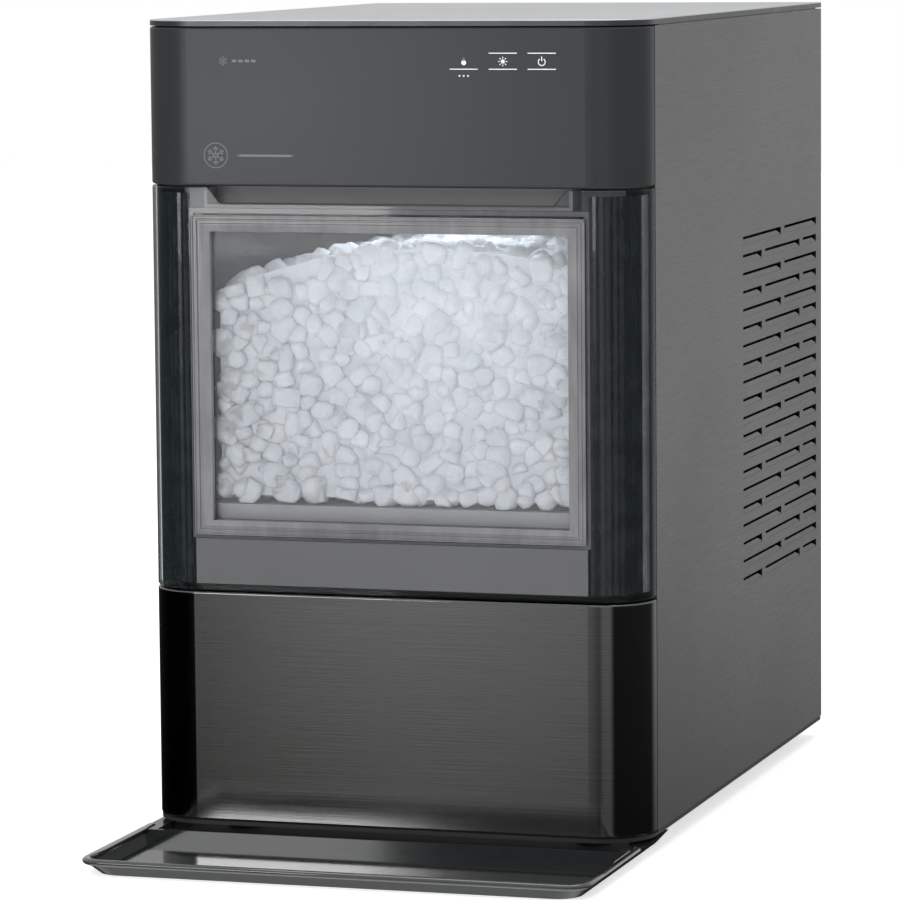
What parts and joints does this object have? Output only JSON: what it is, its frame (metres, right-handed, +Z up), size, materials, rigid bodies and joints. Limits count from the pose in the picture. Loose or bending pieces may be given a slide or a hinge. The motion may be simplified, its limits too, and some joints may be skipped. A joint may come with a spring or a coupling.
{
  "type": "countertop nugget ice maker",
  "caption": "Countertop ice maker with a pull-out windowed ice drawer, water reservoir, auger evaporator, louvred metal case and a sliding drip tray",
  "frame": {"origin": "On the counter, under the middle of the box around the body and the drip tray", "axes": "+Z up, front faces -Y, +X to the right of someone facing the front"},
  "size_m": [0.264, 0.496, 0.419],
  "materials": {
    "cover_metal": "satin",
    "head_plastic": "satin",
    "side_metal": "satin",
    "black_steel": "brushed dark",
    "chassis_metal": "satin",
    "smoke_plastic": "clear smoke",
    "clear_plastic": "clear",
    "grey_plastic": "satin",
    "liner_plastic": "satin",
    "black_plastic": "satin",
    "tray_plastic": "gloss",
    "ice": "frosted ice",
    "rubber": "matte",
    "steel": "satin",
    "zinc": "plated",
    "copper": "drawn tube",
    "fin_aluminium": "rolled sheet",
    "foam": "closed-cell foam",
    "hose_silicone": "translucent",
    "white_plastic": "satin",
    "compressor_paint": "semi-gloss",
    "board": "solder mask",
    "lamp": "diffuser",
    "gear_plastic": "satin"
  },
  "bodies": {
    "cabinet": {"base_pan": "chassis_metal", "feet": "rubber", "right_side_panel": "side_metal", "left_side_panel": "side_metal", "rear_panel": "chassis_metal", "rear_screws": "zinc", "top_cover": "cover_metal", "control_head": "head_plastic", "touch_board": "board", "lower_front_panel": "black_steel", "front_frame": "chassis_metal", "bin_bay": "liner_plastic", "bin_light": "lamp", "ice_chute": "white_plastic", "reservoir": "clear_plastic", "float_stem": "white_plastic", "water_pump": "black_plastic", "water_hose": "hose_silicone", "drain_hoses": "hose_silicone", "drain_spouts": "black_plastic", "drain_caps": "rubber", "inlet_gland": "black_plastic", "gearbox_housing": "black_plastic", "gearbox_cover": "black_plastic", "drive_motor": "zinc", "evaporator_tube": "steel", "evaporator_coil": "copper", "evaporator_insulation": "foam", "extruder_head": "steel", "compressor_mounts": "rubber", "compressor": "compressor_paint", "condenser_fins": "fin_aluminium", "condenser_tubes": "copper", "fan_shroud": "black_plastic", "fan_motor": "black_plastic", "discharge_line": "copper", "filter_drier": "copper", "capillary_line": "copper", "suction_line": "copper", "board_standoffs": "white_plastic", "main_board": "board"},
    "ice_drawer": {"bin_front_shell": "smoke_plastic", "bin_bezel": "smoke_plastic", "bin_window": "clear_plastic", "bin_bucket": "smoke_plastic", "bin_drain_grid": "grey_plastic", "bin_runners": "grey_plastic", "bin_grip": "grey_plastic", "bin_apron": "grey_plastic", "bin_catch": "black_plastic", "ice_nuggets": "ice"},
    "tray": {"drip_tray": "tray_plastic"},
    "fan": {"fan_rotor": "black_plastic"},
    "auger_drive": {"auger": "steel", "output_gear": "gear_plastic"},
    "motor_rotor": {"motor_pinion": "steel"},
    "level_float": {"water_float": "white_plastic"}
  },
  "joints": [
    {"name": "drawer_slide", "type": "slide", "parent": "cabinet", "child": "ice_drawer", "axis": [0, -1, 0], "range_m": [0, 0.2]},
    {"name": "tray_slide", "type": "slide", "parent": "cabinet", "child": "tray", "axis": [0, -1, 0], "range_m": [0, 0.05]},
    {"name": "fan_spin", "type": "hinge", "parent": "cabinet", "child": "fan", "pos_m": [0.083, 0.148, 0.203], "axis": [1, 0, 0], "continuous": true},
    {"name": "auger_spin", "type": "hinge", "parent": "cabinet", "child": "auger_drive", "pos_m": [-0.01, 0.1019, 0.2], "axis": [0, 0, 1], "continuous": true},
    {"name": "motor_spin", "type": "hinge", "parent": "cabinet", "child": "motor_rotor", "pos_m": [0.035, 0.1019, 0.07], "axis": [0, 0, 1], "continuous": true},
    {"name": "float_lift", "type": "slide", "parent": "cabinet", "child": "level_float", "axis": [0, 0, 1], "range_m": [0, 0.03]}
  ],
  "couplings": [
    {"joint": "motor_spin", "follows": "auger_spin", "ratio": -3}
  ]
}
